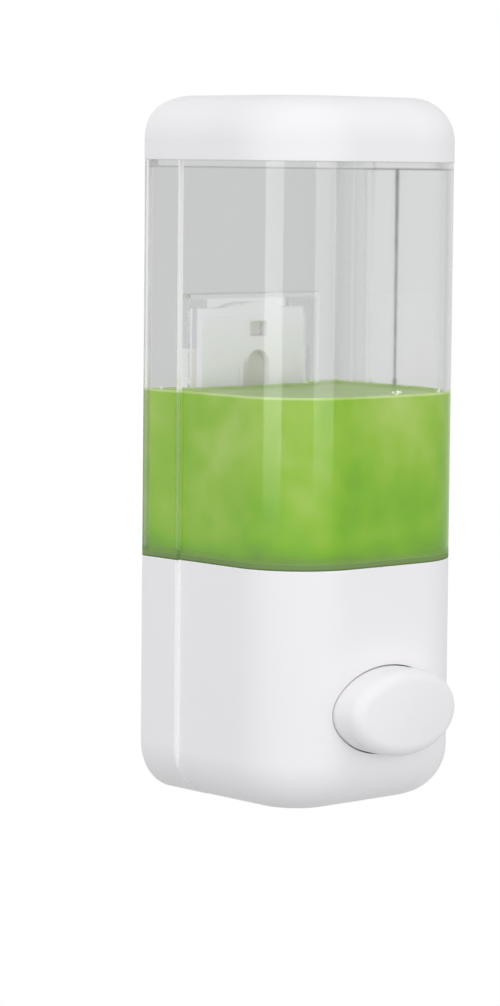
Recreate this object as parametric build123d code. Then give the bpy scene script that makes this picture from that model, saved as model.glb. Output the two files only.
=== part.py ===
from build123d import *
import os
from math import atan2, cos, pi, sin, sqrt

# Wall mounted soap dispenser with a clear tank, an oval push button and a wall bracket.
# Millimetres, +Z up, the wall in the plane Y = 0 and the front towards -Y. Heights are counted
# from the bottom of the dispenser, and the finished pieces are lowered at the end so that the
# origin is the middle of the bracket's screw holes on the wall.

# Outline of the housing
body_width = 80.0
body_height = 210.0
body_depth = 66.5            # wall to the front of the lid
wall_gap = 0.4               # wall to the back of the housing
bow_radius = 1500.0          # slightly bowed front of tank and base
front_corner_radius = 23.3
flange_depth = 16.0          # wide rear part of tank and base
flange_step = 1.3            # how far the front part stands in from it
edge_break = 0.4             # rounded outer edges along the seams of lid, tank and base

# Lid
lid_height = 19.2
lid_wall = 2.0
lid_corner_radius = 26.3
lid_top_radius = 13.0
lid_rear_radius = 7.5        # top edge next to the wall
lid_side_overhang = 0.2
lid_front_overhang = 0.4
lid_fit = 0.3                # gap between the lid and the rim lip inside it

# Tank
tank_wall = 2.0
tank_floor = 1.5
rim_height = 2.0             # thick band under the lid
rim_lip_height = 6.0         # lip that stands up inside the lid
rim_lip_wall = 1.6
skirt_height = 4.0           # skirt that drops into the base
skirt_wall = 2.0
skirt_fit = 0.3
skirt_rear_gap = 5.6         # the skirt stops this far before the tank's back
soap_level = 122.5
soap_gap = 0.1

# Rear pocket of the tank, with two hook lips behind the bracket's head
pocket_width = 53.6
pocket_depth = 7.0
pocket_top = 150.7
pocket_wall = 1.6
pocket_edge_radius = 1.5
hook_length = 15.0
hook_thickness = 1.9
hook_reach = 9.1
hook_fit = 0.3

# Wall bracket
bracket_height = 55.8        # without the arch on its top edge
bracket_top_gap = 3.0        # under the ceiling of the pocket
bracket_side_fit = 4.8
bracket_neck_fit = 0.5
bracket_front_fit = 0.6
bracket_corner_radius = 3.0
arch_width = 21.5
arch_rise = 1.7
ledge_height = 2.4           # set-back band along the bracket's top edge
ledge_depth = 0.6
window_width = 7.6
window_height = 4.6
window_drop = 4.1            # bracket's top edge to the blind window
recess_width = 10.6          # round-ended recess for the screw heads
recess_drop = 12.9           # bracket's top edge to the recess
recess_floor = 2.2
bracket_hole_radius = 2.25
screw_spacing = 18.0
screw_drop = 28.2            # bracket's top edge to the upper screw

# Base
base_height = 72.0
base_wall = 2.4
base_bottom_radius = 15.0
flange_bottom_radius = 16.0
cover_thickness = 2.4
cover_fit = 0.3
cover_recess = 0.2

# Button
button_width = 41.6
button_height = 25.8
button_z = 29.5
button_projection = 11.5
button_travel = 9.0
button_face = 2.5
button_wall = 2.0
button_dome_radius = 90.0
button_edge_radius = 4.0
button_gap = 0.35
guide_depth = 8.2            # front of the housing to the inner end of the button's guide
guide_wall = 1.8
stop_thickness = 1.5
stop_reach = 1.9             # how far the stop flange stands out from the button's skirt
snap_depth = 1.9             # snap rim that holds the rod behind the button's face
snap_wall = 1.6

# Pump
bore_radius = 7.0
barrel_wall = 2.5
end_wall = 3.0
cap_flange = 3.0
cap_plug = 2.5
press_clearance = 0.8        # left between button and cap when the button is fully pressed
piston_length = 6.0
piston_clearance = 0.12
piston_rest_gap = 1.5
piston_groove = 1.9
rod_radius = 3.0
rod_flange_radius = 6.0
rod_flange_thickness = 1.5
rod_tail_radius = 2.0
running_fit = 0.05
port_lead = 3.4              # pressed piston to the middle of the ports
chamber_tail = 9.0           # middle of the ports to the closed end of the chamber
spring_boss_radius = 3.6
spring_boss_height = 3.0
ear_thickness = 3.0
ear_depth = 9.0
ear_span = 32.0              # between the two pump screws

# Valves
ball_radius = 3.0
ball_lift = 1.5
ball_gap = 0.1
valve_room_radius = 3.8
cage_shelf = 3.0
cage_hole_radius = 1.5
cage_slot_width = 1.6
cage_slot_length = 6.8
inlet_orifice_radius = 2.2
inlet_seat_height = 3.0
inlet_port_radius = 8.5
socket_radius = 5.1
socket_depth = 10.8          # tank spigot inside the pump's inlet port
spigot_bore_radius = 3.2
inlet_ring_section = 1.94    # thickness of the O-ring
outlet_orifice_radius = 2.0
outlet_seat_wall = 4.0
outlet_port_radius = 7.2
outlet_bore_radius = 4.3
nozzle_stem = 3.0
nozzle_flange_radius = 6.6
nozzle_flange = 4.2
nozzle_tip = 2.6
nozzle_tip_radius = 3.4
nozzle_bore_radius = 1.6
nozzle_ring_section = 1.6
nozzle_hole_gap = 0.6
gland_squeeze = 0.06         # room left beside each O-ring

# Springs
return_wire = 1.0
return_mean_radius = 5.2
return_turns = 7
outlet_wire = 0.5
outlet_mean_radius = 2.4
outlet_turns = 3
outlet_spring_length = 4.0
spring_seat_gap = 0.05
end_pitch_share = 0.3        # slope of the closed end turns against the even slope

# Fasteners
screw_radius = 1.5
screw_length = 12.0
screw_head_radius = 2.8
screw_head_height = 2.0
screw_slot_width = 0.7
screw_slot_depth = 0.9
countersink_depth = 1.6
boss_radius = 3.5
boss_length = 11.0
cover_boss_sink = 0.6        # how far the cover's bosses run into the side walls
cover_boss_drop = 9.5        # top of the base to the upper cover screws
cover_boss_rise = 2.0        # rounded flange corner to the lower cover screws
tank_boss_radius = 4.0
tank_boss_length = 13.5
tank_boss_x = 25.0
tank_boss_rear_y = -14.0
tank_boss_front_y = -42.0
lug_thickness = 3.0
lug_depth = 10.0
piston_screw_radius = 1.0
piston_screw_length = 5.0
piston_screw_head_radius = 3.0
piston_screw_head_height = 1.6

cut = 1.0                    # how far a cutting shape runs past the face that it opens

# Places worked out from the sizes above
back = -wall_gap
lid_z = body_height - lid_height
lid_half = body_width / 2
flange_half = lid_half - lid_side_overhang
front_half = flange_half - flange_step
lid_front = -body_depth
housing_front = lid_front + lid_front_overhang
flange_front = back - flange_depth

pocket_half = pocket_width / 2
pocket_inner_half = pocket_half - pocket_wall
pocket_front = back - pocket_depth
pocket_ceiling = pocket_top - pocket_wall
tank_floor_z = base_height + tank_floor
hook_bottom = pocket_ceiling - hook_length

bracket_top = pocket_ceiling - bracket_top_gap
bracket_bottom = bracket_top - bracket_height
bracket_half = pocket_inner_half - bracket_side_fit
bracket_neck_half = pocket_inner_half - hook_reach - bracket_neck_fit
bracket_neck_y = back - hook_thickness - hook_fit
bracket_front = pocket_front + pocket_wall + bracket_front_fit
upper_screw_z = bracket_top - screw_drop
lower_screw_z = upper_screw_z - screw_spacing
origin_z = (upper_screw_z + lower_screw_z) / 2

button_a = button_width / 2
button_b = button_height / 2
button_front = housing_front - button_projection
button_inner = button_front + button_face
guide_end = housing_front + guide_depth

barrel_radius = bore_radius + barrel_wall
cap_front = button_inner + snap_depth + button_travel + press_clearance
barrel_front = cap_front + cap_flange
piston_front = barrel_front + cap_plug + piston_rest_gap
piston_rear = piston_front + piston_length
port_y = piston_rear + button_travel + port_lead
chamber_rear = port_y + chamber_tail
barrel_rear = chamber_rear + end_wall
ear_z = button_z - barrel_radius - ear_thickness / 8
ear_x = ear_span / 2

cage_top = button_z + bore_radius + cage_shelf
inlet_ball_z = cage_top + sqrt(ball_radius ** 2 - cage_hole_radius ** 2) + ball_gap
inlet_seat_z = inlet_ball_z + ball_lift + ball_gap + sqrt(ball_radius ** 2 - inlet_orifice_radius ** 2)
spigot_end = inlet_seat_z + inlet_seat_height
inlet_port_top = spigot_end + socket_depth
spigot_radius = socket_radius - running_fit
inlet_gland_radius = spigot_radius + inlet_ring_section + gland_squeeze
inlet_gland_depth = inlet_ring_section + gland_squeeze

outlet_seat_z = button_z - bore_radius - outlet_seat_wall
outlet_ball_z = outlet_seat_z - sqrt(ball_radius ** 2 - outlet_orifice_radius ** 2) - ball_gap
outlet_spring_top = outlet_ball_z - sqrt((ball_radius + outlet_wire / 2) ** 2 - outlet_mean_radius ** 2)
nozzle_top = outlet_spring_top + outlet_wire / 2 - outlet_spring_length
outlet_port_end = nozzle_top - nozzle_stem
nozzle_tip_z = outlet_port_end - nozzle_flange - nozzle_tip
nozzle_stem_radius = outlet_bore_radius - running_fit
nozzle_gland_radius = nozzle_stem_radius + nozzle_ring_section + gland_squeeze
nozzle_gland_depth = nozzle_ring_section + gland_squeeze

cover_outer = back - cover_recess
cover_inner = cover_outer - cover_thickness
cover_half = flange_half - base_wall - cover_fit
cover_boss_x = flange_half - base_wall - boss_radius + cover_boss_sink
cover_boss_heights = (flange_bottom_radius + cover_boss_rise, base_height - cover_boss_drop)
cover_screw_places = [(side * cover_boss_x, z) for side in (-1, 1) for z in cover_boss_heights]
tank_screw_places = [(side * tank_boss_x, y) for side in (-1, 1) for y in (tank_boss_rear_y, tank_boss_front_y)]
lug_top = base_height - tank_boss_length
pilot_radius = screw_radius + running_fit
clearance_radius = screw_radius + 4 * running_fit


def block(x0, x1, y0, y1, z0, z1):
    """Box between two corners."""
    middle = Pos((x0 + x1) / 2, (y0 + y1) / 2, (z0 + z1) / 2)
    return middle * Box(x1 - x0, y1 - y0, z1 - z0)


def post(x, y, z0, z1, radius):
    """Upright cylinder."""
    return Pos(x, y, (z0 + z1) / 2) * Cylinder(radius, z1 - z0)


def bar(x, z, y0, y1, radius):
    """Cylinder that lies along Y."""
    return Pos(x, (y0 + y1) / 2, z) * Rot(90, 0, 0) * Cylinder(radius, y1 - y0)


def oval(half_width, half_height, front, rear):
    """Elliptical prism along Y on the button's axis."""
    plane = Plane(origin=(0, rear, button_z), x_dir=(1, 0, 0), z_dir=(0, -1, 0))
    return extrude(plane * Ellipse(half_width, half_height), rear - front)


def plan(half, front, bow, corner, rear):
    """Face seen from above: straight back and sides, round front corners and a bowed front."""
    bow_y = front + bow
    corner_x = half - corner
    corner_y = bow_y - sqrt((bow - corner) ** 2 - corner_x ** 2)
    sweep_angle = atan2(corner_y - bow_y, corner_x)

    def on_corner(side, angle):
        return (side * (corner_x + corner * cos(angle)), corner_y + corner * sin(angle))

    right = [on_corner(1, share * sweep_angle) for share in (0, 0.5, 1)]
    left = [on_corner(-1, share * sweep_angle) for share in (1, 0.5, 0)]
    return make_face([
        Line((half, rear), right[0]),
        ThreePointArc(*right),
        ThreePointArc(right[2], (0, front), left[0]),
        ThreePointArc(*left),
        Line(left[2], (-half, rear)),
        Line((-half, rear), (half, rear)),
    ])


def front_plan(inset, rear):
    """Plan of the front part of tank and base, drawn in by the inset."""
    front = housing_front + inset
    return plan(front_half - inset, front, bow_radius - inset, front_corner_radius - inset, rear)


def lid_plan(inset):
    """Plan of the lid, drawn in by the inset on every side."""
    bow = bow_radius + lid_front_overhang - inset
    return plan(lid_half - inset, lid_front + inset, bow, lid_corner_radius - inset, back - inset)


def upright(face, bottom, top):
    """Prism on a plan face between two heights."""
    return Pos(0, 0, bottom) * extrude(face, top - bottom, dir=(0, 0, 1))


def flange_block(inset, bottom, top, rear):
    """Wide rear part of the housing, drawn in by the inset."""
    half = flange_half - inset
    return block(-half, half, flange_front + inset, rear, bottom, top)


def housing(inset, bottom, top, rear):
    """Tank and base share this form: a wide rear flange and a narrower bowed front."""
    return upright(front_plan(inset, rear), bottom, top) + flange_block(inset, bottom, top, rear)


def rounded_housing(inset, top, rear):
    """Housing with rounded bottom edges on the front part and rounded flange corners."""
    front_part = upright(front_plan(inset, rear), inset, top)
    bottom_edges = front_part.edges().group_by(Axis.Z)[0].sort_by(Axis.Y)[:-1]
    front_part = fillet(bottom_edges, base_bottom_radius - inset)
    flange = flange_block(inset, inset, top, rear)
    flange_corners = flange.edges().filter_by(Axis.Y).group_by(Axis.Z)[0]
    return front_part + fillet(flange_corners, flange_bottom_radius - inset)


def domed_lid_form(inset, bottom):
    """Solid form of the lid: its top edges are rounded, the one next to the wall less than the others."""
    top = body_height - inset
    form = upright(lid_plan(inset), bottom, top)
    top_edges = form.edges().group_by(Axis.Z)[-1].sort_by(Axis.Y)[:-1]
    form = fillet(top_edges, lid_top_radius - inset)
    rear = block(-lid_half, lid_half, lid_front, back - inset, bottom, top)
    rear_edge = rear.edges().filter_by(Axis.X).group_by(Axis.Z)[-1].sort_by(Axis.Y)[-1]
    return form & fillet(rear_edge, lid_rear_radius - inset)


def make_lid():
    outer = domed_lid_form(0, lid_z)
    outer = fillet(outer.edges().group_by(Axis.Z)[0], edge_break)
    return outer - domed_lid_form(lid_wall, lid_z - cut)


def pocket_block(growth):
    """Outside of the tank's rear pocket, grown all round."""
    half = pocket_half + growth
    form = block(-half, half, pocket_front - growth, back, base_height, pocket_top + growth)
    front_face = form.faces().sort_by(Axis.Y)[0]
    front_edges = front_face.edges().sort_by(Axis.Z)[1:]
    return fillet(front_edges, pocket_edge_radius)


def make_tank():
    shell = housing(0, base_height, lid_z, back)
    shell = fillet(shell.edges().group_by(Axis.Z)[0], edge_break)
    shell -= housing(tank_wall, tank_floor_z, lid_z + cut, back - tank_wall)

    lip_inset = lid_wall + lid_fit
    rim = housing(0, lid_z - rim_height, lid_z, back)
    rim += upright(lid_plan(lip_inset), lid_z - rim_height, lid_z + rim_lip_height)
    rim -= upright(lid_plan(lip_inset + rim_lip_wall), lid_z - rim_height - cut, lid_z + rim_lip_height + cut)

    skirt_inset = base_wall + skirt_fit
    skirt_bottom = base_height - skirt_height
    skirt_rear = back - skirt_rear_gap
    skirt = housing(skirt_inset, skirt_bottom, tank_floor_z, skirt_rear)
    skirt -= housing(skirt_inset + skirt_wall, skirt_bottom - cut, tank_floor_z + cut, skirt_rear + cut)

    pocket = block(-pocket_inner_half, pocket_inner_half, pocket_front + pocket_wall, back + cut,
                   tank_floor_z, pocket_ceiling)
    tank = shell + rim + skirt + pocket_block(0) - pocket
    for side in (-1, 1):
        inner = side * (pocket_inner_half - hook_reach)
        outer = side * pocket_half
        tank += block(min(inner, outer), max(inner, outer), back - hook_thickness, back,
                      hook_bottom, pocket_top - pocket_wall / 2)

    shoulder_radius = inlet_gland_radius + pocket_wall
    tank += post(0, port_y, inlet_port_top, tank_floor_z, shoulder_radius)
    tank += post(0, port_y, spigot_end, tank_floor_z, spigot_radius)
    tank -= post(0, port_y, spigot_end - cut, tank_floor_z + cut, spigot_bore_radius)
    for x, y in tank_screw_places:
        tank += post(x, y, lug_top, tank_floor_z, tank_boss_radius)
        tank -= post(x, y, lug_top - cut, lug_top - lug_thickness + screw_length + cut, pilot_radius)
    return tank


def make_soap_fill():
    inset = tank_wall + soap_gap
    soap = housing(inset, tank_floor_z, soap_level, back - inset)
    return soap - pocket_block(soap_gap)


def make_base_shell():
    outer = rounded_housing(0, base_height, back)
    outer = fillet(outer.edges().group_by(Axis.Z)[-1], edge_break)
    base = outer - rounded_housing(base_wall, base_height + cut, back + cut)

    hole_a = button_a + button_gap
    hole_b = button_b + button_gap
    guide = oval(hole_a + guide_wall, hole_b + guide_wall, housing_front - cut, guide_end)
    base += guide & outer
    base -= oval(hole_a, hole_b, housing_front - cut, guide_end + cut)

    for x, z in cover_screw_places:
        base += bar(x, z, cover_inner - boss_length, cover_inner, boss_radius)
        base -= bar(x, z, cover_outer - screw_length - cut, cover_inner + cut, pilot_radius)
    for x, y in tank_screw_places:
        wall = flange_half if y > flange_front else front_half
        inner = abs(x) - tank_boss_radius
        outer_end = wall - base_wall / 2
        x0, x1 = (inner, outer_end) if x > 0 else (-outer_end, -inner)
        lug = block(x0, x1, y - lug_depth / 2, y + lug_depth / 2, lug_top - lug_thickness, lug_top)
        base += lug & outer
        base -= post(x, y, lug_top - lug_thickness - cut, lug_top + cut, clearance_radius)
    for x in (-ear_x, ear_x):
        base += post(x, port_y, base_wall / 2, ear_z, boss_radius)
        base -= post(x, port_y, ear_z + ear_thickness - screw_length - cut, ear_z + cut, pilot_radius)
    return base - post(0, port_y, -cut, base_wall + cut, nozzle_flange_radius + nozzle_hole_gap)


def make_back_cover():
    bottom = base_wall + cover_fit
    top = base_height - cover_fit
    cover = block(-cover_half, cover_half, cover_inner, cover_outer, bottom, top)
    corners = cover.edges().filter_by(Axis.Y).group_by(Axis.Z)[0]
    cover = fillet(corners, flange_bottom_radius - base_wall - cover_fit)
    for x, z in cover_screw_places:
        cover -= bar(x, z, cover_inner - cut, cover_outer + cut, clearance_radius)
        sink = Cone(clearance_radius, screw_head_radius + running_fit, countersink_depth)
        cover -= Pos(x, cover_outer - countersink_depth / 2, z) * Rot(-90, 0, 0) * sink
    return cover


def cross_slots(radius, top):
    """Cross-shaped driver recess in a screw head that ends at the given height."""
    middle = Pos(0, 0, top - screw_slot_depth / 2)
    slot = middle * Box(1.2 * radius, screw_slot_width, screw_slot_depth)
    return slot + Rot(0, 0, 90) * slot


def pan_screw(radius, length, head_radius, head_height):
    """Screw with its head standing on the plane Z = 0 and its shank below."""
    screw = post(0, 0, -length, 0, radius) + post(0, 0, 0, head_height, head_radius)
    screw = fillet(screw.edges().group_by(Axis.Z)[-1], head_height / 3)
    return screw - cross_slots(head_radius, head_height)


def housing_screw():
    return pan_screw(screw_radius, screw_length, screw_head_radius, screw_head_height)


def make_tank_screws():
    under_lug = lug_top - lug_thickness
    return Part() + [Pos(x, y, under_lug) * Rot(180, 0, 0) * housing_screw() for x, y in tank_screw_places]


def make_pump_screws():
    return Part() + [Pos(x, port_y, ear_z + ear_thickness) * housing_screw() for x in (-ear_x, ear_x)]


def make_cover_screws():
    head = Pos(0, 0, -countersink_depth / 2) * Cone(screw_radius, screw_head_radius, countersink_depth)
    screw = head + post(0, 0, -screw_length, 0, screw_radius) - cross_slots(screw_head_radius, 0)
    return Part() + [Pos(x, cover_outer, z) * Rot(-90, 0, 0) * screw for x, z in cover_screw_places]


def make_push_button():
    skirt = oval(button_a, button_b, button_front, guide_end)
    dome = Pos(0, button_front + button_dome_radius, button_z) * Sphere(button_dome_radius)
    button = skirt & dome
    front_edge = button.edges().sort_by(Axis.Y)[0]
    button = fillet(front_edge, button_edge_radius)
    stop_rear = guide_end + stop_thickness
    button += oval(button_a + stop_reach, button_b + stop_reach, guide_end, stop_rear)
    button -= oval(button_a - button_wall, button_b - button_wall, button_inner, stop_rear + cut)
    snap_radius = rod_flange_radius + 4 * running_fit
    snap = bar(0, button_z, button_inner - button_face / 2, button_inner + snap_depth, snap_radius + snap_wall)
    return button + (snap - bar(0, button_z, button_inner, button_inner + snap_depth + cut, snap_radius))


def make_piston_rod():
    rod = bar(0, button_z, button_inner, button_inner + rod_flange_thickness, rod_flange_radius)
    rod += bar(0, button_z, button_inner, piston_front, rod_radius)
    rod += bar(0, button_z, piston_front - cut, piston_rear, rod_tail_radius)
    hole_end = piston_rear - piston_screw_length - cut
    return rod - bar(0, button_z, hole_end, piston_rear + cut, piston_screw_radius + running_fit)


def make_piston():
    radius = bore_radius - piston_clearance
    middle = (piston_front + piston_rear) / 2
    piston = bar(0, button_z, piston_front, piston_rear, radius)
    piston -= bar(0, button_z, piston_front - cut, piston_rear + cut, rod_tail_radius + running_fit)
    groove = bar(0, button_z, middle - piston_groove / 2, middle + piston_groove / 2, bore_radius + cut)
    return piston - (groove - bar(0, button_z, piston_front, piston_rear, bore_radius - piston_groove))


def make_piston_seal():
    section = piston_groove / 2 - running_fit
    middle = (piston_front + piston_rear) / 2
    return Pos(0, middle, button_z) * Rot(90, 0, 0) * Torus(bore_radius - running_fit - section, section)


def make_piston_screw():
    screw = pan_screw(piston_screw_radius, piston_screw_length, piston_screw_head_radius, piston_screw_head_height)
    return Pos(0, piston_rear, button_z) * Rot(-90, 0, 0) * screw


def make_pump_cylinder():
    pump = bar(0, button_z, barrel_front, barrel_rear, barrel_radius)
    pump += post(0, port_y, button_z, inlet_port_top, inlet_port_radius)
    pump += post(0, port_y, outlet_port_end, button_z, outlet_port_radius)
    ear_half = ear_x + boss_radius
    pump += block(-ear_half, ear_half, port_y - ear_depth / 2, port_y + ear_depth / 2, ear_z, ear_z + ear_thickness)
    for x in (-ear_x, ear_x):
        pump -= post(x, port_y, ear_z - cut, ear_z + ear_thickness + cut, clearance_radius)

    pump -= bar(0, button_z, barrel_front - cut, chamber_rear, bore_radius)
    pump += bar(0, button_z, chamber_rear - spring_boss_height, chamber_rear + end_wall / 2, spring_boss_radius)

    pump -= post(0, port_y, inlet_seat_z, inlet_port_top + cut, socket_radius)
    pump -= post(0, port_y, inlet_port_top - inlet_gland_depth, inlet_port_top + cut, inlet_gland_radius)
    pump -= post(0, port_y, cage_top, inlet_seat_z + cut, valve_room_radius)
    pump -= post(0, port_y, button_z, cage_top + cut, cage_hole_radius)
    slot = Pos(0, 0, (button_z + cage_top) / 2) * Box(cage_slot_length, cage_slot_width, cage_top - button_z)
    pump -= Pos(0, port_y, 0) * (slot + Rot(0, 0, 90) * slot)

    pump -= post(0, port_y, outlet_seat_z - cut, button_z, outlet_orifice_radius)
    pump -= post(0, port_y, outlet_port_end - cut, outlet_seat_z, outlet_bore_radius)
    return pump - post(0, port_y, outlet_port_end - cut, outlet_port_end + nozzle_gland_depth, nozzle_gland_radius)


def make_cylinder_cap():
    cap = bar(0, button_z, cap_front, barrel_front, barrel_radius)
    cap += bar(0, button_z, barrel_front - cut, barrel_front + cap_plug, bore_radius - running_fit)
    return cap - bar(0, button_z, cap_front - cut, barrel_front + cap_plug + cut, rod_radius + running_fit)


def make_inlet_seat():
    ring = post(0, port_y, inlet_seat_z, spigot_end, spigot_radius)
    return ring - post(0, port_y, inlet_seat_z - cut, spigot_end + cut, inlet_orifice_radius)


def make_inlet_o_ring():
    section = inlet_ring_section / 2
    ring = Torus(spigot_radius + section + gland_squeeze / 2, section)
    return Pos(0, port_y, inlet_port_top - inlet_gland_depth / 2) * ring


def make_nozzle():
    nozzle = post(0, port_y, outlet_port_end - cut, nozzle_top, nozzle_stem_radius)
    nozzle += post(0, port_y, outlet_port_end - nozzle_flange, outlet_port_end, nozzle_flange_radius)
    tip = Cone(nozzle_tip_radius, nozzle_stem_radius, nozzle_tip)
    nozzle += Pos(0, port_y, nozzle_tip_z + nozzle_tip / 2) * tip
    return nozzle - post(0, port_y, nozzle_tip_z - cut, nozzle_top + cut, nozzle_bore_radius)


def make_nozzle_o_ring():
    section = nozzle_ring_section / 2
    ring = Torus(nozzle_stem_radius + section + gland_squeeze / 2, section)
    return Pos(0, port_y, outlet_port_end + nozzle_gland_depth / 2) * ring


def make_ball(z):
    return Pos(0, port_y, z) * Sphere(ball_radius)


def biarc(start, leave, end, arrive):
    """Two tangent arcs from start to end that leave and arrive along the given directions."""
    chord = end - start
    both = leave + arrive
    square = 4 - both.dot(both)
    reach = (sqrt(chord.dot(both) ** 2 + square * chord.dot(chord)) - chord.dot(both)) / square
    first_corner = start + leave * reach
    second_corner = end - arrive * reach
    joint = (first_corner + second_corner) * 0.5
    across = (second_corner - first_corner).normalized()
    return [TangentArc(start, joint, tangent=leave), TangentArc(joint, end, tangent=across)]


def coil_spring(name, mean_radius, wire, length, turns):
    """Compression spring along Z with flatter end turns, one unbroken wire between two seats."""
    rise = length - wire - 2 * spring_seat_gap
    foot = wire / 2 + spring_seat_gap

    def height(turn):
        share = turn / turns
        eased = share * share * (3 - 2 * share)
        return foot + rise * (end_pitch_share * share + (1 - end_pitch_share) * eased)

    def slope(turn):
        share = turn / turns
        return rise / turns * (end_pitch_share + (1 - end_pitch_share) * 6 * share * (1 - share))

    def point(turn):
        return Vector(mean_radius * cos(2 * pi * turn), mean_radius * sin(2 * pi * turn), height(turn))

    def heading(turn):
        around = 2 * pi * mean_radius
        return Vector(-around * sin(2 * pi * turn), around * cos(2 * pi * turn), slope(turn)).normalized()

    steps = 4 * turns
    marks = [step / 4 for step in range(steps + 1)]
    arcs = []
    for here, there in zip(marks[:-1], marks[1:]):
        arcs += biarc(point(here), heading(here), point(there), heading(there))

    gap = min(height(turn + 1) - height(turn) for turn in marks[:-4]) - wire
    print(f"{name}: {turns} turns, least gap between turns {gap:.2f} mm")
    section = Plane(origin=point(0), z_dir=heading(0)) * Circle(wire / 2)
    return sweep(section, path=Wire(arcs))


def make_return_spring():
    length = chamber_rear - piston_rear
    spring = coil_spring("return_spring", return_mean_radius, return_wire, length, return_turns)
    return Pos(0, chamber_rear, button_z) * Rot(90, 0, 0) * spring


def make_outlet_spring():
    spring = coil_spring("outlet_spring", outlet_mean_radius, outlet_wire, outlet_spring_length, outlet_turns)
    return Pos(0, port_y, nozzle_top) * spring


def make_wall_bracket():
    seat = block(-bracket_half, bracket_half, bracket_front, 0, bracket_bottom, hook_bottom)
    neck = block(-bracket_neck_half, bracket_neck_half, bracket_front, 0, hook_bottom, bracket_top)
    head = block(-bracket_half, bracket_half, bracket_front, bracket_neck_y, hook_bottom, bracket_top)
    bracket = seat + neck + head
    corners = bracket.edges().filter_by(Axis.Y).group_by(Axis.Z)[0]
    bracket = fillet(corners, bracket_corner_radius)

    ledge_front = bracket_front + ledge_depth
    bracket -= block(-bracket_half - cut, bracket_half + cut, bracket_front - cut, ledge_front,
                     bracket_top - ledge_height, bracket_top + cut)
    plane = Plane(origin=(0, 0, bracket_top), x_dir=(1, 0, 0), z_dir=(0, -1, 0))
    ends = [(-arch_width / 2, 0), (arch_width / 2, 0)]
    arch = make_face([ThreePointArc(ends[0], (0, arch_rise), ends[1]), Line(ends[1], ends[0])])
    bracket += extrude(plane * arch, -ledge_front)

    recess_back = -recess_floor
    window_top = bracket_top - window_drop
    bracket -= block(-window_width / 2, window_width / 2, bracket_front - cut, recess_back,
                     window_top - window_height, window_top)
    recess_end = bracket_top - recess_drop - recess_width / 2
    bracket -= block(-recess_width / 2, recess_width / 2, bracket_front - cut, recess_back,
                     lower_screw_z, recess_end)
    for z in (lower_screw_z, recess_end):
        bracket -= bar(0, z, bracket_front - cut, recess_back, recess_width / 2)
    for z in (lower_screw_z, upper_screw_z):
        bracket -= bar(0, z, bracket_front - cut, cut, bracket_hole_radius)
    return bracket


pieces = {
    "wall_bracket": make_wall_bracket(),
    "tank": make_tank(),
    "soap_fill": make_soap_fill(),
    "lid": make_lid(),
    "base_shell": make_base_shell(),
    "back_cover": make_back_cover(),
    "cover_screws": make_cover_screws(),
    "tank_screws": make_tank_screws(),
    "push_button": make_push_button(),
    "piston_rod": make_piston_rod(),
    "piston": make_piston(),
    "piston_seal": make_piston_seal(),
    "piston_screw": make_piston_screw(),
    "return_spring": make_return_spring(),
    "pump_cylinder": make_pump_cylinder(),
    "cylinder_cap": make_cylinder_cap(),
    "pump_screws": make_pump_screws(),
    "inlet_o_ring": make_inlet_o_ring(),
    "inlet_seat": make_inlet_seat(),
    "inlet_ball": make_ball(inlet_ball_z),
    "outlet_ball": make_ball(outlet_ball_z),
    "outlet_spring": make_outlet_spring(),
    "nozzle": make_nozzle(),
    "nozzle_o_ring": make_nozzle_o_ring(),
}

os.makedirs("parts", exist_ok=True)
for node, shape in pieces.items():
    export_step(Pos(0, 0, -origin_z) * shape, f"parts/{node}.step")
print(f"origin {origin_z:.2f} mm above the bottom, pump ports at Y {port_y:.2f}, pump front {cap_front:.2f}")
print(f"inlet port top {inlet_port_top:.2f}, nozzle tip {nozzle_tip_z:.2f} mm above the bottom")
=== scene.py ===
# %% [markdown]
# # A wall mounted soap dispenser
#
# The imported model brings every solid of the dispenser: the wall bracket, the clear tank, the lid,
# the white base with its push button and the small pump inside. This lesson gives each of them its
# finish, models the pieces that a rigid solid can't show well, and lights and frames the whole as
# in a plain product photograph. Everything is in metres, +Z is up, the wall is the plane Y = 0 and
# the front looks towards -Y.

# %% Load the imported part
import math
import random

import bpy
from mathutils import Matrix, Vector


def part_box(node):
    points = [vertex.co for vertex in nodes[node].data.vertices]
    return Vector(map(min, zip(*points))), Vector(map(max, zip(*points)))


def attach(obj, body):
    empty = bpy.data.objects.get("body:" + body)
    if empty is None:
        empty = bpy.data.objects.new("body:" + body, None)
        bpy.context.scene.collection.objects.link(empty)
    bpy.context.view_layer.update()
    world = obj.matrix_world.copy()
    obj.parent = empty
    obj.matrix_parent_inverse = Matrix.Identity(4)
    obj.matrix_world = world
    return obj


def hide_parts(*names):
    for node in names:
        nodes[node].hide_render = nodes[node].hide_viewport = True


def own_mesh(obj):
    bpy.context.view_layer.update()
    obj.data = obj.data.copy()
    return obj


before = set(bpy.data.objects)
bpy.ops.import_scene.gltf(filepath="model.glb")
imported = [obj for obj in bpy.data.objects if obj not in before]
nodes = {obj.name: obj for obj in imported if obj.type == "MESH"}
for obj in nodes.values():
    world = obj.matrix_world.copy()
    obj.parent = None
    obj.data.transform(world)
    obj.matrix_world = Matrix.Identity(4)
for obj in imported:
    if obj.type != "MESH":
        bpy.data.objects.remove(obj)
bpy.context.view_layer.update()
mm = 0.001

# %% [markdown]
# ## Camera
#
# The photograph was taken from the left of the front and a little above the middle. Its lens and
# place were worked out from the dispenser's own edges: the long vertical outlines give the turn and
# the distance, and the seams give the height. The picture is not centred on the lens axis, so the
# camera is shifted by the share of the picture's long side that the axis lies off the middle.

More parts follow.
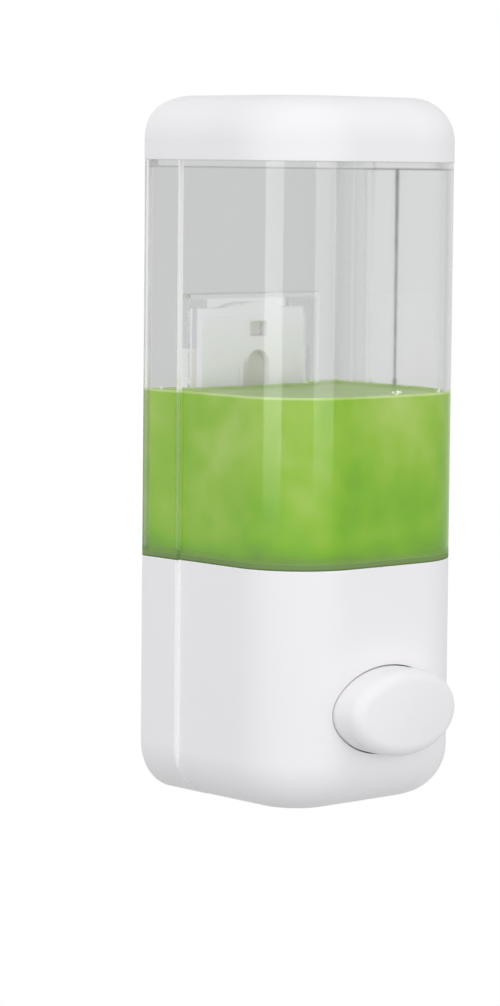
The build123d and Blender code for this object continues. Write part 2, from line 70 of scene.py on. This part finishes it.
# %% Place the camera
image_width = 500
image_height = 1006
axis_x = 312.85            # where the lens axis meets the picture, in pixels
axis_y = 447.18
focal_pixels = 3475.2
camera_turn = math.radians(-42.557)
camera_rise = math.radians(4.671)
camera_roll = math.radians(0.645)
camera_distance = 1.0470
bottom_drop = 0.1089       # from the frame's origin down to the dispenser's bottom
aim_height = 0.1050        # of the point looked at, above that bottom
middle_y = -0.0325         # middle of the dispenser's depth
aim = Vector((0, middle_y, aim_height - bottom_drop))

away = Vector((
    math.sin(camera_turn) * math.cos(camera_rise),
    -math.cos(camera_turn) * math.cos(camera_rise),
    math.sin(camera_rise),
))
sideways = (-away).cross(Vector((0, 0, 1))).normalized()
upright = sideways.cross(-away)
right = math.cos(camera_roll) * sideways + math.sin(camera_roll) * upright
top = math.cos(camera_roll) * upright - math.sin(camera_roll) * sideways

bpy.ops.object.select_all(action="DESELECT")
bpy.ops.object.camera_add()
camera = bpy.context.object
camera.name = "camera"
turned = Matrix((right, top, away)).transposed().to_4x4()
camera.matrix_world = Matrix.Translation(aim + away * camera_distance) @ turned
camera.data.sensor_width = 36.0
camera.data.lens = camera.data.sensor_width * focal_pixels / image_height
camera.data.shift_x = (image_width / 2 - axis_x) / image_height
camera.data.shift_y = (axis_y - image_height / 2) / image_height
camera.data.clip_start = 0.05
camera.data.clip_end = 60
bpy.context.scene.camera = camera
bpy.context.scene.view_settings.view_transform = "Standard"
print("lens", round(camera.data.lens, 1), "mm")

# %% [markdown]
# ## A short way to write shader nodes
#
# Finishes are node trees. Written out one node and one link at a time they are hard to read, so one
# small class wraps an output and lets ordinary arithmetic add the Math nodes. Every other node comes
# from a single method that takes the node's type, its settings and the values of its inputs.

# %% Wrap a socket so that arithmetic adds nodes


class Wire:
    """An output of a node; arithmetic with numbers or other wires adds Math nodes."""

    def __init__(self, finish, output):
        self.finish = finish
        self.output = output

    def math(self, operation, first, second):
        return self.finish.add("ShaderNodeMath", {"operation": operation}, {0: first, 1: second})

    def __add__(self, other):
        return self.math("ADD", self, other)

    def __sub__(self, other):
        return self.math("SUBTRACT", self, other)

    def __rsub__(self, other):
        return self.math("SUBTRACT", other, self)

    def __mul__(self, other):
        return self.math("MULTIPLY", self, other)

    def __abs__(self):
        return self.math("ABSOLUTE", self, 0)

    def larger(self, other):
        return self.math("MAXIMUM", self, other)

    __radd__ = __add__
    __rmul__ = __mul__


# %% Build a finish from nodes


class Finish:
    """A material or the world, built from nodes."""

    def __init__(self, block):
        block.use_nodes = True
        self.block = block
        self.tree = block.node_tree

    def add(self, kind, settings=None, inputs=None, output=0):
        """Adds a node, sets it up, feeds its inputs and gives one of its outputs."""
        node = self.tree.nodes.new(kind)
        for name, value in (settings or {}).items():
            if name == "stops":
                self.set_stops(node.color_ramp, value)
            else:
                setattr(node, name, value)
        for name, value in (inputs or {}).items():
            self.feed(node.inputs[name], value)
        return Wire(self, node.outputs[output])

    def set_stops(self, ramp, stops):
        """Gives a colour ramp its places and colours, from left to right."""
        while len(ramp.elements) < len(stops):
            ramp.elements.new(0.5)
        for element, (place, colour) in zip(ramp.elements, stops):
            element.position = place
            element.color = (*colour, 1)

    def feed(self, socket, value):
        """Links a wire to an input, or sets a plain value on it."""
        if isinstance(value, Wire):
            self.tree.links.new(value.output, socket)
        else:
            socket.default_value = value

    def shade(self, **inputs):
        """Sets inputs of the Principled shader; an underscore in a name stands for a space."""
        shader = self.tree.nodes["Principled BSDF"]
        for name, value in inputs.items():
            self.feed(shader.inputs[name.replace("_", " ")], value)

    def mix_in(self, kind, factor, colour):
        """Mixes a plain shader of the given kind into the surface by the factor."""
        surface = self.tree.nodes["Material Output"].inputs["Surface"]
        shown = Wire(self, surface.links[0].from_socket)
        other = self.add(kind, {}, {"Color": colour})
        self.feed(surface, self.add("ShaderNodeMixShader", {}, {"Fac": factor, 1: shown, 2: other}))

    def noise(self, size, detail=2.0, stretch=(1, 1, 1)):
        """Cloudy pattern from 0 to 1 whose patches are about the given size in metres."""
        place = self.add("ShaderNodeTexCoord", output="Object")
        place = self.add("ShaderNodeMapping", {}, {"Vector": place, "Scale": stretch})
        return self.add("ShaderNodeTexNoise", {}, {"Vector": place, "Scale": 1 / size, "Detail": detail})

    def along(self, axis):
        """X, Y or Z of the surface point in metres, in the frame of the part."""
        place = self.add("ShaderNodeTexCoord", output="Object")
        return self.add("ShaderNodeSeparateXYZ", {}, {0: place}, output=axis)

    def fade(self, pattern, start, end, low=0.0, high=1.0):
        """Runs smoothly from low to high while the pattern goes from start to end."""
        inputs = {"Value": pattern, "From Min": start, "From Max": end, "To Min": low, "To Max": high}
        return self.add("ShaderNodeMapRange", {"interpolation_type": "SMOOTHSTEP"}, inputs)

    def band(self, pattern, start, end, soft):
        """1 while the pattern goes from start to end, fading out over the soft width on both sides."""
        return self.fade(pattern, start - soft, start) - self.fade(pattern, end, end + soft)

    def path(self, name):
        """What the light path node says of a ray, such as Is Camera Ray."""
        return self.add("ShaderNodeLightPath", output=name)

    def bump(self, pattern, strength, depth):
        """Normals of a surface that the pattern raises by up to the depth in metres."""
        return self.add("ShaderNodeBump", {}, {"Height": pattern, "Strength": strength, "Distance": depth})

    def ramp(self, pattern, stops):
        """Colours the pattern by a list of places and colours."""
        return self.add("ShaderNodeValToRGB", {"stops": stops}, {"Fac": pattern})


def new_finish(name):
    return Finish(bpy.data.materials.new(name))


def wear(finish, *names):
    """Gives CAD nodes a finish."""
    for name in names:
        nodes[name].data.materials.clear()
        nodes[name].data.materials.append(finish.block)
    print(finish.block.name, "on", ", ".join(names))


# %% [markdown]
# ## Room
#
# The background is plain white to the camera. In mirror images and through the clear tank it is a
# pale backdrop, which grows dimmer to the right, so that the tank's round right edge gets the thin
# dark outline that clear plastic has in front of a lit backdrop. Matt surfaces get a weaker fill.
# A white room for every ray would be simpler, but it would wash the clear tank out. The floor lies
# well below the dispenser. It is white to the camera and in mirror images, as pale as the backdrop
# through the tank, and a plain grey to everything else.

# %% Set the world
fill_level = 0.73          # light that matt surfaces get from all round
backdrop_level = 0.735     # what mirror images and the clear tank show
right_level = 0.52         # the same at the far right
most_bounces = 32          # clear walls need many, or they turn black

scene = bpy.context.scene
scene.cycles.max_bounces = most_bounces
scene.cycles.transmission_bounces = most_bounces
scene.cycles.glossy_bounces = most_bounces
world = bpy.data.worlds.new("studio")
scene.world = world
studio = Finish(world)
background = studio.tree.nodes["Background"]
ray_direction = studio.add("ShaderNodeTexCoord", output="Generated")
to_right = studio.add(
    "ShaderNodeVectorMath", {"operation": "DOT_PRODUCT"}, {0: ray_direction, 1: sideways}, output="Value")
backdrop = studio.fade(to_right, 0.2, 0.9, backdrop_level, right_level)
seen = studio.path("Is Transmission Ray").larger(studio.path("Is Glossy Ray"))
strength = studio.path("Is Camera Ray") * (1 - fill_level) + seen * (backdrop - fill_level) + fill_level
background.inputs["Color"].default_value = (1, 1, 1, 1)
studio.feed(background.inputs["Strength"], strength)
print("world nodes:", len(studio.tree.nodes))

# %% Lay the floor
floor_side = 4
floor_drop = 0.9
floor_glow = 0.75          # lifts the lit floor to white for the camera and in mirror images
floor_behind_tank = 0.335  # lifts it only to the backdrop's level behind the clear tank

bpy.ops.object.select_all(action="DESELECT")
bpy.ops.mesh.primitive_plane_add(size=floor_side, location=(0, 0, -floor_drop))
floor = bpy.context.object
floor.name = "floor"
pale = new_finish("pale_floor")
seen_floor = pale.path("Is Camera Ray").larger(pale.path("Is Glossy Ray"))
through_tank = pale.path("Is Transmission Ray")
pale.shade(
    Base_Color=pale.ramp(pale.noise(0.5), [(0.3, (0.49, 0.49, 0.49)), (0.7, (0.51, 0.51, 0.51))]),
    Roughness=0.9,
    Emission_Color=seen_floor * (1 - through_tank) * floor_glow + through_tank * floor_behind_tank,
    Emission_Strength=1.0,
)
floor.data.materials.append(pale.block)
print("floor at Z", round(floor.location.z, 2), "m, nodes of its finish:", len(pale.tree.nodes))

# %% [markdown]
# ## Light
#
# Two upright soft boxes stand to the left and in front: their mirror images are the two bright bands
# on the tank's rounded corner. A lamp has one strength all over, so the lower end of each is a stack
# of thin boxes that dim in steps, and the bands fade out over the soap. One more box hangs overhead
# and casts the soft shadow under the button, and a wide weak one, left out of mirror images, lights
# the base from the front. None of the boxes is seen through the clear tank.

# %% Place the lamps
lowest_aim = -0.1          # the lamps look at the dispenser between these heights
highest_aim = 0.1


def soft_box(name, bearing, distance, height, width, tall, radiance):
    """Rectangular lamp that looks at the dispenser; its bearing is counted from +X."""
    angle = math.radians(bearing)
    place = Vector((distance * math.cos(angle), middle_y + distance * math.sin(angle), height))
    bpy.ops.object.light_add(type="AREA", location=place)
    lamp = bpy.context.object
    lamp.name = name
    lamp.data.shape = "RECTANGLE"
    lamp.data.size = width
    lamp.data.size_y = tall
    lamp.data.energy = radiance * math.pi * width * tall
    towards = Vector((0, middle_y, max(lowest_aim, min(height, highest_aim)))) - place
    lamp.rotation_euler = towards.to_track_quat("-Z", "Y").to_euler()
    lamp.visible_transmission = False
    return lamp


box_foot = -0.042          # height above which the upright boxes have their full strength
box_height = 0.30
fade_steps = 5
step_height = 0.012
for name, bearing, distance, width, radiance in (
    ("box_left", 190, 0.8, 0.38, 2.9),
    ("box_front", 263, 0.9, 0.48, 2.2),
):
    soft_box(name, bearing, distance, box_foot + box_height / 2, width, box_height, radiance)
    for step in range(fade_steps):
        share = 1 - (step + 1) / (fade_steps + 1)
        middle = box_foot - (step + 0.5) * step_height
        soft_box(f"{name}_foot_{step}", bearing, distance, middle, width, step_height, radiance * share)
soft_box("box_top", bearing=250, distance=0.45, height=0.95, width=0.8, tall=0.8, radiance=0.85)
box_low = soft_box("box_low", bearing=285, distance=1.2, height=-0.35, width=0.7, tall=0.5, radiance=1.2)
box_low.visible_glossy = False

# %% [markdown]
# ## White moulded plastic
#
# Lid, base and button are moulded from white plastic with a soft shine. One flat white would look
# like paper. Close up such plastic is never perfectly even: its shine changes a little from place to
# place and the surface has a faint grain from the mould. Both come from noise at the right scale. On
# the base the front of the step of the broad rear part gets a painted highlight, a lighter colour that
# is picked out by its place. The pump parts inside are of the same plastic, uncoloured.

# %% White plastic finishes
plastic_roughness = 0.5
shine_change = 0.08        # how far the roughness varies
plastic_ior = 1.45
grain_depth = 0.05 * mm


def moulded_plastic(name):
    """Finish with the uneven shine and the grain of a moulding, and the clouds it follows."""
    finish = new_finish(name)
    cloud = finish.noise(0.03)
    grain = finish.noise(0.0006, detail=3.0)
    finish.shade(
        Roughness=cloud * shine_change + (plastic_roughness - shine_change / 2),
        IOR=plastic_ior,
        Normal=finish.bump(grain, 0.05, grain_depth),
    )
    return finish, cloud


def clouded_plastic(name, colour):
    """Moulded plastic of one colour that is a little darker in its clouds."""
    finish, cloud = moulded_plastic(name)
    darker = tuple(0.975 * part for part in colour)
    finish.shade(Base_Color=finish.ramp(cloud, [(0.3, darker), (0.7, colour)]))
    return finish


wear(clouded_plastic("white_plastic", (0.89, 0.88, 0.90)), "lid", "push_button", "back_cover")
wear(clouded_plastic("pump_plastic", (0.78, 0.78, 0.75)),
     "pump_cylinder", "cylinder_cap", "piston", "piston_rod", "inlet_seat", "nozzle")

# %% Painted highlight on the step of the base
base_low, base_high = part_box("base_shell")
highlighted_base, highlighted_base_cloud = moulded_plastic("highlighted_base_white")
outside = highlighted_base.fade(abs(highlighted_base.along("X")), base_high.x - 1.7 * mm, base_high.x - 1.3 * mm)
inwards = highlighted_base.along("Y")
step_face = highlighted_base.fade(inwards, -16.7 * mm, -16.5 * mm) - highlighted_base.fade(inwards, -15.9 * mm, -15.6 * mm)
# painted highlight: the front face of the step is coloured lighter than the rest of the base
highlighted_base.shade(
    Base_Color=highlighted_base.ramp(outside * step_face, [(0.0, (0.885, 0.875, 0.895)), (1.0, (1.0, 0.99, 1.0))]),
)
wear(highlighted_base, "base_shell")
print("base in mm:", [round(side / mm, 1) for side in base_high - base_low])

# %% [markdown]
# ## Wall bracket
#
# The bracket is matt white too. The floors of its recesses lie nearer to the wall than the front face,
# and they get a painted shade of beige grey. A fade over the depth paints them without a second
# material.

# %% Bracket finish
bracket_low, bracket_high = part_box("wall_bracket")
recess_floor_y = -2.2 * mm
bracket_colours_and_shade = [(0.05, (0.95, 0.93, 0.99)), (0.95, (0.77, 0.75, 0.72))]
matt = new_finish("bracket_plastic")
# painted shade: the recess floors, nearer to the wall, fade to beige grey
depth = matt.fade(matt.along("Y"), recess_floor_y - 0.6 * mm, recess_floor_y - 0.2 * mm)
matt_cloud = matt.noise(0.02)
matt.shade(
    Base_Color=matt.ramp(depth * 0.9 + matt_cloud * 0.1, bracket_colours_and_shade),
    Roughness=matt_cloud * 0.1 + 0.45,
    IOR=plastic_ior,
)
wear(matt, "wall_bracket")
print("bracket in mm:", [round(side / mm, 1) for side in bracket_high - bracket_low])

# %% [markdown]
# ## Clear tank
#
# The tank is clear plastic with a slight haze. Its thickness is already in the solid, so a fully
# transmitting shader bends the light at each wall, which draws most of the lines along its edges by
# itself. The back, next to the wall, and the rear of the right side get a painted shade of grey, and the
# fine seam under the rim that carries the lid has a grey cast. The edges of the back and of the floor,
# where the mould was cut, are frosted.
#
# Three matt colours are mixed in on top: painted highlights on the front of the side step and along
# the rear edge, a green mist where the soap thins out over the floor, and a painted shade at the foot,
# a dark line where the tank meets the base. Mixing by a factor keeps them in place from every side,
# which a reflection would not do. Last, light from the lamps and from matt surfaces passes straight
# through, so that the soap and the bracket are lit as evenly as the pieces outside.

# %% Clear plastic finish
tank_low, tank_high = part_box("tank")
soap_low, soap_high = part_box("soap_fill")
rim_line = tank_high.z - 8.0 * mm
tank_ior = 1.49
haze = 0.065               # roughness of the clear walls
frosted = 0.45             # roughness of the frosted edges
# the third colour is the painted shade of the back and of the rear of the right side
tank_tints_and_shade = [             # seam, clear wall and grey back
    (0.00, (0.66, 0.66, 0.68)),
    (0.50, (0.985, 0.99, 0.99)),
    (1.00, (0.76, 0.765, 0.77)),
]

clear = new_finish("clear_plastic")
across = clear.along("X")
inwards = clear.along("Y")
height = clear.along("Z")
aside = abs(across)
# painted shade: the back next to the wall and the rear of the right side are tinted grey
rear = clear.fade(inwards, tank_high.y - 2.4 * mm, tank_high.y - 1.8 * mm)
rear = rear * clear.fade(aside, tank_high.x - 3 * mm, tank_high.x - 2 * mm, 1.0, 0.0)
shaded_right_side = clear.fade(inwards, -20 * mm, -1 * mm) * clear.fade(across, 30 * mm, 36 * mm)
grey = rear.larger(shaded_right_side)
seam = clear.band(height, rim_line, rim_line, 0.5 * mm)
back_edge = clear.fade(aside, tank_high.x - 0.4 * mm, tank_high.x - 0.2 * mm)
back_edge = back_edge * clear.fade(inwards, tank_high.y - 3.2 * mm, tank_high.y - 2.8 * mm)
floor_edge = clear.fade(height, soap_low.z - 0.1 * mm, soap_low.z + 0.1 * mm, 1.0, 0.0)
frost = back_edge.larger(floor_edge)
clear.shade(
    Base_Color=clear.ramp(grey * 0.5 - seam * 0.5 + 0.5, tank_tints_and_shade),
    Roughness=frost * (frosted - haze) + haze,
    IOR=tank_ior,
    Transmission_Weight=1.0,
)
print("tank in mm:", [round(side / mm, 1) for side in tank_high - tank_low])

# %% Painted highlights, mist, painted shade at the foot and light through the tank
step_highlight = 0.75           # strengths of the pale lines
whole_edge_highlight = 0.3
rear_band_highlight = 0.65
highlight_on_soap = 0.16        # share of the lines that is left in front of the soap
mist_cover = 0.8           # how much of the clear plastic the mist hides
highlight_white = (0.95, 0.95, 0.95, 1)
mist_green = (0.23, 0.355, 0.125, 1)
foot_shade_green = (0.10, 0.14, 0.07, 1)

above_soap = clear.fade(height, soap_high.z - 1.0 * mm, soap_high.z + 1.0 * mm, highlight_on_soap, 1.0)
step_front = clear.band(inwards, -16.6 * mm, -15.9 * mm, 0.3 * mm)
step_front = step_front * clear.fade(aside, tank_high.x - 1.9 * mm, tank_high.x - 1.6 * mm)
rear_band = clear.band(inwards, -2.0 * mm, -1.3 * mm, 0.3 * mm)
# painted highlights: the front of the side step and the rear edges are mixed in as matt white
painted_highlights = step_front * step_highlight + back_edge * (rear_band * rear_band_highlight + whole_edge_highlight)
misted = clear.fade(height, soap_low.z - 0.2 * mm, soap_low.z + 2.6 * mm, 1.0, 0.0)
# painted shade: a dark green line at the foot, where the tank meets the base
foot = clear.fade(height, soap_low.z - 1.5 * mm, soap_low.z - 0.7 * mm, 1.0, 0.0)
clear.mix_in("ShaderNodeBsdfDiffuse", painted_highlights * above_soap * (1 - misted), highlight_white)
clear.mix_in("ShaderNodeBsdfDiffuse", misted * mist_cover, mist_green)
clear.mix_in("ShaderNodeBsdfDiffuse", foot * mist_cover, foot_shade_green)
lamp_ray = clear.path("Is Shadow Ray").larger(clear.path("Is Diffuse Ray"))
clear.mix_in("ShaderNodeBsdfTransparent", lamp_ray, (1, 1, 1, 1))
wear(clear, "tank")

# %% [markdown]
# ## Liquid soap
#
# The soap is a bright, slightly cloudy green. It creeps up where it meets the tank, so a copy of its
# solid gets a low rim round the top face: the face is inset and its middle let down. A boolean cut
# would do the same, but an inset follows the outline by itself. The body is swollen a little, so that
# it wets the walls and no gap shows between them.

# %% Copy a solid and pick its faces


def copy_of(name, piece):
    """New object with a merged copy of a CAD node's mesh, selected and active."""
    bpy.ops.object.select_all(action="DESELECT")
    twin = bpy.data.objects.new(piece, nodes[name].data.copy())
    bpy.context.scene.collection.objects.link(twin)
    twin.data.materials.clear()
    bpy.context.view_layer.objects.active = twin
    twin.select_set(True)
    bpy.ops.object.mode_set(mode="EDIT")
    bpy.ops.mesh.select_all(action="SELECT")
    bpy.ops.mesh.remove_doubles(threshold=1e-6)
    bpy.ops.mesh.select_all(action="DESELECT")
    bpy.ops.object.mode_set(mode="OBJECT")
    bpy.ops.mesh.customdata_custom_splitnormals_clear()
    return twin


def select_faces(piece, test):
    """Selects the faces whose centre and normal pass the test, and enters edit mode."""
    bpy.ops.object.mode_set(mode="EDIT")
    bpy.ops.mesh.select_mode(type="FACE")
    bpy.ops.mesh.select_all(action="DESELECT")
    bpy.ops.object.mode_set(mode="OBJECT")
    count = 0
    for face in piece.data.polygons:
        face.select = test(face.center, face.normal)
        count += face.select
    bpy.ops.object.mode_set(mode="EDIT")
    return count


# %% Soap body
wall_contact = 0.15 * mm   # the soap wets the walls, so its body runs a little into them
rim_width = 1.4 * mm
rim_drop = 0.9 * mm
soap_size = soap_high - soap_low
swell = (1 + 2 * wall_contact / soap_size.x, 1 + 2 * wall_contact / soap_size.y, 1)
soap = copy_of("soap_fill", "soap")
found = select_faces(soap, lambda centre, normal: normal.z > 0.9 and centre.z > soap_high.z - mm)
bpy.ops.mesh.inset(thickness=rim_width, use_boundary=True)
bpy.ops.transform.translate(value=(0, 0, -rim_drop))
bpy.ops.mesh.select_all(action="SELECT")
bpy.ops.transform.resize(value=swell, center_override=(soap_low + soap_high) / 2)
bpy.ops.object.mode_set(mode="OBJECT")
bpy.ops.object.shade_smooth_by_angle(angle=math.radians(40))
even = soap.modifiers.new("even_walls", "WEIGHTED_NORMAL")   # flat walls shade flat up to the rounding
even.keep_sharp = True
bpy.ops.object.modifier_apply(modifier="even_walls")
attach(soap, "dispenser")
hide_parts("soap_fill")
print("soap: top faces", found, "solid in mm", [round(side / mm, 2) for side in soap_size])
print("soap body in mm:", [round(side / mm, 2) for side in soap.dimensions])

# %% [markdown]
# ## Colour of the soap
#
# Broad clouds and finer wisps of lighter green hang in the soap. The bottom is darker, the upper part
# paler, and a painted highlight, a light line, runs along the walls at the top of the soap. All of these
# add up to one number that a ramp turns into greens. The top face, seen at a shallow angle, is duller,
# so it gets a second finish. A real volume would also do, but it is slow and doesn't survive an export.

# %% Soap finishes
soap_ior = 1.36
cloud_strength = 0.55
wisp_strength = 0.5
greens = [
    (0.10, (0.13, 0.26, 0.04)),
    (0.45, (0.20, 0.47, 0.015)),
    (0.62, (0.28, 0.53, 0.035)),
    (0.85, (0.42, 0.61, 0.12)),
    (1.00, (0.55, 0.72, 0.28)),
]

liquid = new_finish("soap")
clouds = liquid.noise(0.036) * cloud_strength
wisps = (liquid.noise(0.014) - 0.5) * wisp_strength
level = liquid.along("Z")
rise = liquid.fade(level, soap_low.z - 1 * mm, soap_low.z + 9 * mm, 0.0, 0.3)
paler = liquid.fade(level, soap_low.z + 15 * mm, soap_high.z, 0.0, 0.16)
# painted highlight: a light line along the walls at the top of the soap
painted_top_highlight = liquid.fade(level, soap_high.z - 0.9 * mm, soap_high.z - 0.5 * mm, 0.0, 0.3)
liquid.shade(
    Base_Color=liquid.ramp(clouds + wisps + rise + paler + painted_top_highlight, greens),
    Roughness=0.08,
    IOR=soap_ior,
)
surface = new_finish("soap_surface")
ripple = surface.noise(0.01)
surface.shade(
    Base_Color=surface.ramp(ripple, [(0.3, (0.36, 0.55, 0.13)), (0.7, (0.46, 0.63, 0.22))]),
    Roughness=0.3,
    IOR=soap_ior,
    Specular_IOR_Level=0.1,
)
soap.data.materials.append(liquid.block)
soap.data.materials.append(surface.block)
top_faces = [
    face for face in soap.data.polygons if face.normal.z > 0.3 and face.center.z > soap_high.z - 2 * mm
]
for face in top_faces:
    face.material_index = 1
print("soap surface:", len(top_faces), "of", len(soap.data.polygons), "faces")

# %% [markdown]
# ## Steel and rubber
#
# Screws, springs and valve balls are plain stainless steel, and the seals are black rubber. One metal
# with a fine uneven roughness does for all the steel, because the pieces are small and mostly hidden.

# %% Steel and rubber finishes
steel = new_finish("steel")
brush = steel.noise(0.0008, stretch=(1, 1, 6))
steel.shade(
    Base_Color=(0.62, 0.62, 0.60, 1),
    Metallic=1.0,
    Roughness=brush * 0.15 + 0.22,
)
wear(steel, "cover_screws", "tank_screws", "pump_screws", "piston_screw", "inlet_ball", "outlet_ball")
rubber = new_finish("seal_rubber")
dust = rubber.noise(0.001)
rubber.shade(
    Base_Color=rubber.ramp(dust, [(0.3, (0.02, 0.02, 0.02)), (0.8, (0.05, 0.05, 0.05))]),
    Roughness=0.7,
)
wear(rubber, "piston_seal", "inlet_o_ring", "nozzle_o_ring")

# %% [markdown]
# ## Springs wound as coils
#
# A rigid coil can't follow the button. Each spring is wound again here, with a mesh of its own. A curve
# with a round bevel would also give a coil, but the Screw modifier sweeps a circle of wire with an even
# number of faces per turn. The return spring lies along Y behind the piston, the small spring of the
# outlet valve stands along Z under its ball.

# %% Wind a spring
wire_sides = 12
turn_steps = 32


def wind(name, node, axis, mean_radius, wire, turns):
    """Coil that fills the box of a CAD spring along the axis, ends closed."""
    low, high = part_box(node)
    way = Vector((axis == "X", axis == "Y", axis == "Z"))
    start = (low + high) / 2
    start += way * (low - start).dot(way)
    length = (high - low).dot(way)
    bpy.ops.object.select_all(action="DESELECT")
    turn = (0, 0, 0) if axis == "Y" else (math.pi / 2, 0, 0)
    bpy.ops.mesh.primitive_circle_add(
        vertices=wire_sides, radius=wire / 2, fill_type="NOTHING", rotation=turn)
    coil = bpy.context.object
    coil.name = name
    bpy.ops.object.transform_apply(rotation=True)
    bpy.ops.object.mode_set(mode="EDIT")
    bpy.ops.transform.translate(value=Vector((mean_radius, 0, 0)) + way * wire / 2)
    bpy.ops.object.mode_set(mode="OBJECT")
    winding = coil.modifiers.new("winding", "SCREW")
    winding.axis = axis
    winding.angle = math.tau
    winding.screw_offset = (length - wire) / turns
    winding.iterations = turns
    winding.steps = turn_steps
    winding.render_steps = turn_steps
    winding.use_merge_vertices = False
    bpy.ops.object.modifier_apply(modifier="winding")
    bpy.ops.object.mode_set(mode="EDIT")
    bpy.ops.mesh.select_all(action="SELECT")
    bpy.ops.mesh.fill_holes(sides=wire_sides)
    bpy.ops.mesh.normals_make_consistent(inside=False)
    bpy.ops.object.mode_set(mode="OBJECT")
    coil.location = start
    bpy.ops.object.transform_apply(location=True)
    bpy.ops.object.shade_smooth_by_angle(angle=math.radians(50))
    coil.data.materials.append(steel.block)
    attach(coil, "dispenser")
    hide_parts(node)
    print(name, turns, "turns,", round(length / mm, 2), "mm long")
    return coil, low, high


# %% Wind the two springs, each with a mesh of its own
return_radius = 5.2 * mm
return_wire = 1.0 * mm
return_coil, coil_low, coil_high = wind(
    "return_coil", "return_spring", "Y", return_radius, return_wire, turns=7)
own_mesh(return_coil)

outlet_radius = 2.4 * mm
outlet_wire = 0.5 * mm
outlet_coil, coil_low, coil_high = wind(
    "outlet_coil", "outlet_spring", "Z", outlet_radius, outlet_wire, turns=3)
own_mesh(outlet_coil)

# %% [markdown]
# ## Bubbles
#
# Small bubbles stand in clusters where the soap meets the walls. A floating bubble is a ball that has
# lost its foot, so one is cut from a sphere, and the others are copies of it in several sizes. Particles
# could scatter them too, but a few placed clusters are easier to keep in the corners.

# %% Bubbles along the soap line
bubble_radius = 0.5 * mm
bubble_foot = -0.3 * mm    # where the sphere is cut
front_x = 4.4              # the largest cluster stands at the front
front_y = -63.2
clusters = [               # X and Y in millimetres, and how many bubbles
    (-36.6, -6.0, 2),
    (19.0, -9.0, 7),
    (36.4, -5.0, 3),
    (front_x, front_y, 6),
    (24.0, -61.2, 3),
]

random.seed(7)
foam = new_finish("foam")
foam.shade(
    Base_Color=foam.ramp(foam.noise(0.0008), [(0.3, (0.80, 0.90, 0.62)), (0.7, (0.96, 0.98, 0.90))]),
    Roughness=0.1,
    IOR=1.33,
)
bpy.ops.object.select_all(action="DESELECT")
bpy.ops.mesh.primitive_uv_sphere_add(segments=16, ring_count=8, radius=bubble_radius)
first_bubble = bpy.context.object
bpy.ops.object.mode_set(mode="EDIT")
bpy.ops.mesh.select_all(action="SELECT")
bpy.ops.mesh.bisect(plane_co=(0, 0, bubble_foot), plane_no=(0, 0, 1), clear_inner=True, use_fill=True)
bpy.ops.object.mode_set(mode="OBJECT")
bubbles = [first_bubble]
for centre_x, centre_y, count in clusters:
    for _ in range(count):
        bubble = first_bubble.copy()
        bubble.data = first_bubble.data.copy()
        bpy.context.scene.collection.objects.link(bubble)
        spread = Vector((random.uniform(-1.5, 1.5), random.uniform(-0.5, 0.5), random.uniform(0.0, 0.8)))
        bubble.location = (Vector((centre_x, centre_y, 0)) + spread) * mm + Vector((0, 0, soap_high.z))
        bubble.scale = [random.uniform(0.5, 1.2)] * 3
        bubbles.append(bubble)
first_bubble.location = (front_x * mm, front_y * mm, soap_high.z)
print("bubbles:", len(bubbles))

# %% Join the bubbles
bpy.ops.object.select_all(action="DESELECT")
for bubble in bubbles:
    bubble.select_set(True)
bpy.context.view_layer.objects.active = first_bubble
bpy.ops.object.join()
bpy.ops.object.transform_apply(location=True, rotation=True, scale=True)
bpy.ops.object.shade_smooth()
first_bubble.name = "bubbles"
first_bubble.data.materials.append(foam.block)
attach(first_bubble, "dispenser")
print("faces of the bubbles:", len(first_bubble.data.polygons))

# %% [markdown]
# ## A run of liquid
#
# A thin run of liquid has trickled down the inside of the right wall. It is a long cone, a little
# thicker at the top: its lower end is drawn out to a drop by three extrusions, and its upper end is
# rounded off by two. A line in the tank's material would be flatter and would not catch the light.

# %% Run of liquid on the right wall
run_x = 36.05 * mm
run_y = -29.3 * mm
run_top = tank_high.z - 8.5 * mm
run_bottom = soap_high.z + 2.5 * mm
drop_steps = ((1.2, 1.7), (0.9, 1.0), (0.5, 0.4))   # millimetres further, and how many times as wide
cap_steps = ((0.3, 0.7), (0.15, 0.4))

wet = new_finish("wet_run")
wet.shade(
    Base_Color=wet.ramp(wet.noise(0.004), [(0.3, (0.26, 0.26, 0.28)), (0.7, (0.36, 0.36, 0.38))]),
    Roughness=0.25,
    IOR=soap_ior,
)
bpy.ops.object.select_all(action="DESELECT")
bpy.ops.mesh.primitive_cone_add(
    vertices=16,
    radius1=0.35 * mm,
    radius2=0.55 * mm,
    depth=run_top - run_bottom,
    location=(run_x, run_y, (run_top + run_bottom) / 2),
)
run = bpy.context.object
run.name = "run_of_liquid"
bpy.ops.object.transform_apply(location=True)
for direction, end, steps in ((-1, run_bottom, drop_steps), (1, run_top, cap_steps)):
    select_faces(run, lambda centre, normal: normal.z * direction > 0.9)
    for length, wider in steps:
        end += direction * length * mm
        bpy.ops.mesh.extrude_region_move(TRANSFORM_OT_translate={"value": (0, 0, direction * length * mm)})
        bpy.ops.transform.resize(value=(wider, wider, 1), center_override=(run_x, run_y, end))
    bpy.ops.object.mode_set(mode="OBJECT")
bpy.ops.object.shade_smooth_by_angle(angle=math.radians(50))
run.data.materials.append(wet.block)
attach(run, "dispenser")
print("run of liquid in mm:", [round(side / mm, 1) for side in run.dimensions])
